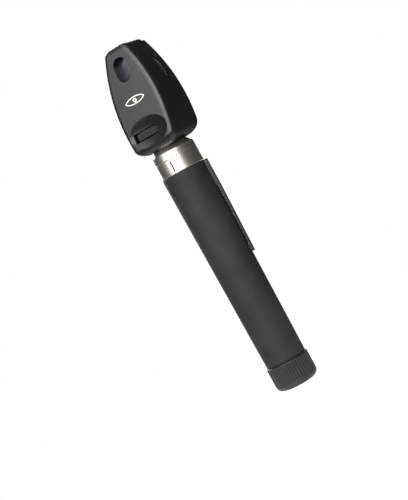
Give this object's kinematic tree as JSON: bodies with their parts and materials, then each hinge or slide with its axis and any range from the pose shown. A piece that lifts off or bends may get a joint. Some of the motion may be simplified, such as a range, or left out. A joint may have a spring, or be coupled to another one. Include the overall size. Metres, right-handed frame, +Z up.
{
  "type": "ophthalmoscope",
  "caption": "Hand-held ophthalmoscope: battery handle with soft sleeve, turned metal collar, and a head with light window, aperture wheel, lens wheel and brow pad.",
  "frame": {"origin": "centre of the end cap's flat base", "axes": "+Z up the handle to the head, -Y out of the light window to the patient, +Y to the practitioner"},
  "size_m": [0.026, 0.0254, 0.1702],
  "materials": {
    "cap_plastic": "moulded, ribbed",
    "spring_steel": "drawn wire and strip",
    "seal_rubber": "smooth",
    "tube_metal": "turned",
    "sleeve_rubber": "soft matt with fine grain",
    "clip_paint": "satin black",
    "cell_jacket": "printed foil without marks",
    "insulator": "moulded",
    "contact_brass": "bright",
    "collar_metal": "satin nickel, turned",
    "index_line": "inlaid enamel",
    "head_plastic": "fine satin texture",
    "pad_rubber": "soft matt",
    "head_gloss": "polished",
    "clear_glass": "polished",
    "window_glass": "coated",
    "screw_steel": "blackened heads",
    "frame_metal": "matt black to stop stray light",
    "lamp_metal": "nickelled",
    "mirror_silver": "front silvered",
    "wheel_plastic": "moulded, ribbed rim",
    "disc_foil": "etched foil",
    "green_glass": "coloured",
    "number_card": "printed disc"
  },
  "bodies": {
    "handle": {"battery_tube": "tube_metal", "grip_sleeve": "sleeve_rubber", "pocket_clip": "clip_paint", "clip_rivets": "spring_steel", "lower_cell": "cell_jacket", "upper_cell": "cell_jacket", "contact_block": "insulator", "centre_contact": "contact_brass", "contact_spring": "spring_steel", "cap_seal": "seal_rubber"},
    "cap_spring": {"cap_spring": "spring_steel"},
    "end_cap": {"end_cap": "cap_plastic"},
    "switch_ring": {"switch_ring": "collar_metal", "switch_index": "index_line", "switch_contact": "contact_brass"},
    "neck_seal": {"neck_seal": "seal_rubber"},
    "head": {"neck_ring": "collar_metal", "front_shell": "head_plastic", "rear_shell": "head_plastic", "brow_rest": "pad_rubber", "peephole_ring": "head_gloss", "dioptre_window": "clear_glass", "front_window": "window_glass", "head_screws": "screw_steel", "optical_frame": "frame_metal", "frame_screws": "screw_steel", "lamp_socket": "contact_brass", "lamp_base": "lamp_metal", "lamp_tip": "contact_brass", "lamp_bulb": "clear_glass", "lamp_filament": "spring_steel", "condenser_lens": "clear_glass", "objective_lens": "clear_glass", "mirror": "mirror_silver", "lens_wheel_axle": "screw_steel", "lens_wheel_clip": "spring_steel", "lens_click_spring": "spring_steel", "aperture_click_spring": "spring_steel", "aperture_axle": "screw_steel"},
    "aperture_wheel": {"aperture_wheel": "wheel_plastic", "aperture_disc": "disc_foil", "green_filter": "green_glass"},
    "lens_wheel": {"lens_wheel": "wheel_plastic", "test_lenses": "clear_glass", "dioptre_ring": "number_card"}
  },
  "joints": [
    {"name": "cap_travel", "type": "slide", "parent": "handle", "child": "cap_spring", "axis": [0, 0, -1], "range_m": [0, 0.0091]},
    {"name": "cap_turn", "type": "hinge", "parent": "cap_spring", "child": "end_cap", "pos_m": [0, 0, 0.006], "axis": [0, 0, -1], "range_deg": [0, 2160]},
    {"name": "switch_turn", "type": "hinge", "parent": "handle", "child": "switch_ring", "pos_m": [0, 0, 0.1118], "axis": [0, 0, 1], "range_deg": [0, 60]},
    {"name": "head_lift", "type": "slide", "parent": "handle", "child": "neck_seal", "axis": [0, 0, 1], "range_m": [0, 0.012]},
    {"name": "head_turn", "type": "hinge", "parent": "neck_seal", "child": "head", "pos_m": [0, 0, 0.118], "axis": [0, 0, 1], "range_deg": [0, 30]},
    {"name": "aperture_spin", "type": "hinge", "parent": "head", "child": "aperture_wheel", "pos_m": [-0.0025, -0.0016, 0.1299], "axis": [0, 0, 1], "continuous": true},
    {"name": "lens_spin", "type": "hinge", "parent": "head", "child": "lens_wheel", "pos_m": [0, 0.0076, 0.151], "axis": [0, 1, 0], "continuous": true}
  ],
  "couplings": [
    {"joint": "cap_travel", "follows": "cap_turn", "m_per_rad": 0.00023873}
  ]
}
